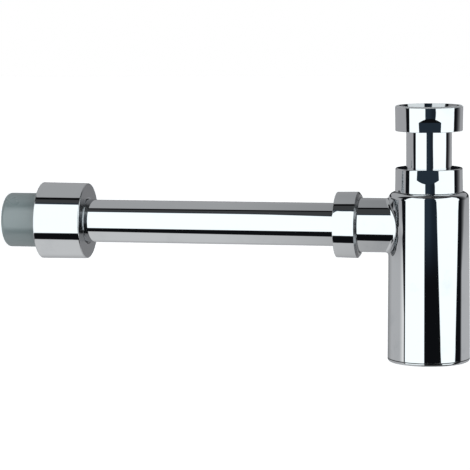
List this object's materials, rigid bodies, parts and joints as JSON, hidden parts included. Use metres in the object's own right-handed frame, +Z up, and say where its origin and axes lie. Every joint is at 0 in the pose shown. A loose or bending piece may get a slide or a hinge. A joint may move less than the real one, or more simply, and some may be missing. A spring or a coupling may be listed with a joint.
{
  "type": "basin trap",
  "caption": "Chromed bottle trap for a wash basin, with a threaded inlet nut, a telescopic dip tube, a screwed clean-out base and a level outlet pipe to a plastic waste adaptor.",
  "frame": {"origin": "on the inlet axis, at the lower end of the inlet nut's thread", "axes": "+Z up along the inlet axis, the way the basin waste leaves; the outlet pipe runs level towards -X"},
  "size_m": [0.3537, 0.0608, 0.1888],
  "materials": {
    "chrome_plated_plastic": "mirror chrome plating on moulded plastic",
    "chrome_plated_brass": "mirror chrome plating on drawn brass tube",
    "grey_pvc": "matte blue-grey moulded plastic",
    "black_rubber": "matte rubber",
    "white_polyethylene": "waxy white plastic"
  },
  "bodies": {
    "tail": {"tail_pipe": "chrome_plated_brass", "inlet_washer": "black_rubber"},
    "inlet_nut": {"inlet_nut": "chrome_plated_plastic"},
    "cap_seal": {"cap_seal": "black_rubber"},
    "bottle": {"bottle_body": "chrome_plated_plastic", "outlet_seal": "black_rubber"},
    "cap_slip_ring": {"cap_slip_ring": "white_polyethylene"},
    "cap_nut": {"cap_nut": "chrome_plated_plastic"},
    "base_o_ring": {"base_o_ring": "black_rubber"},
    "base_cap": {"base_cap": "chrome_plated_plastic"},
    "outlet_slip_ring": {"outlet_slip_ring": "white_polyethylene"},
    "outlet_nut": {"outlet_nut": "chrome_plated_plastic"},
    "outlet_pipe": {"outlet_pipe": "chrome_plated_brass"},
    "wall_adaptor": {"wall_adaptor": "grey_pvc", "wall_seal": "black_rubber"},
    "wall_slip_ring": {"wall_slip_ring": "white_polyethylene"},
    "wall_nut": {"wall_nut": "chrome_plated_plastic"}
  },
  "joints": [
    {"name": "inlet_nut_turn", "type": "hinge", "parent": "tail", "child": "inlet_nut", "pos_m": [0, 0, 0], "axis": [0, 0, 1], "continuous": true},
    {"name": "height_slide", "type": "slide", "parent": "tail", "child": "cap_seal", "axis": [0, 0, 1], "range_m": [-0.017, 0.008]},
    {"name": "bottle_swivel", "type": "hinge", "parent": "cap_seal", "child": "bottle", "pos_m": [0, 0, 0], "axis": [0, 0, 1], "continuous": true},
    {"name": "cap_ring_lift", "type": "slide", "parent": "bottle", "child": "cap_slip_ring", "axis": [0, 0, 1], "range_m": [0, 0.00925]},
    {"name": "cap_nut_turn", "type": "hinge", "parent": "cap_slip_ring", "child": "cap_nut", "pos_m": [0, 0, 0], "axis": [0, 0, 1], "range_deg": [0, 1440]},
    {"name": "base_ring_drop", "type": "slide", "parent": "bottle", "child": "base_o_ring", "axis": [0, 0, -1], "range_m": [0, 0.00925]},
    {"name": "base_cap_turn", "type": "hinge", "parent": "base_o_ring", "child": "base_cap", "pos_m": [0, 0, 0], "axis": [0, 0, -1], "range_deg": [0, 1440]},
    {"name": "outlet_ring_slide", "type": "slide", "parent": "bottle", "child": "outlet_slip_ring", "axis": [-1, 0, 0], "range_m": [0, 0.00925]},
    {"name": "outlet_nut_turn", "type": "hinge", "parent": "outlet_slip_ring", "child": "outlet_nut", "pos_m": [-0.0624, 0, -0.07875], "axis": [-1, 0, 0], "range_deg": [0, 1440]},
    {"name": "outlet_pipe_slide", "type": "slide", "parent": "bottle", "child": "outlet_pipe", "axis": [-1, 0, 0], "range_m": [-0.012, 0.014]},
    {"name": "wall_slide", "type": "slide", "parent": "outlet_pipe", "child": "wall_adaptor", "axis": [-1, 0, 0], "range_m": [-0.004, 0.008]},
    {"name": "wall_ring_slide", "type": "slide", "parent": "wall_adaptor", "child": "wall_slip_ring", "axis": [1, 0, 0], "range_m": [0, 0.00925]},
    {"name": "wall_nut_turn", "type": "hinge", "parent": "wall_slip_ring", "child": "wall_nut", "pos_m": [-0.266, 0, -0.07875], "axis": [1, 0, 0], "range_deg": [0, 1440]}
  ],
  "couplings": [
    {"joint": "cap_ring_lift", "follows": "cap_nut_turn", "m_per_rad": 0.00036749},
    {"joint": "base_ring_drop", "follows": "base_cap_turn", "m_per_rad": 0.00036749},
    {"joint": "outlet_ring_slide", "follows": "outlet_nut_turn", "m_per_rad": 0.00036749},
    {"joint": "wall_ring_slide", "follows": "wall_nut_turn", "m_per_rad": 0.00036749}
  ]
}
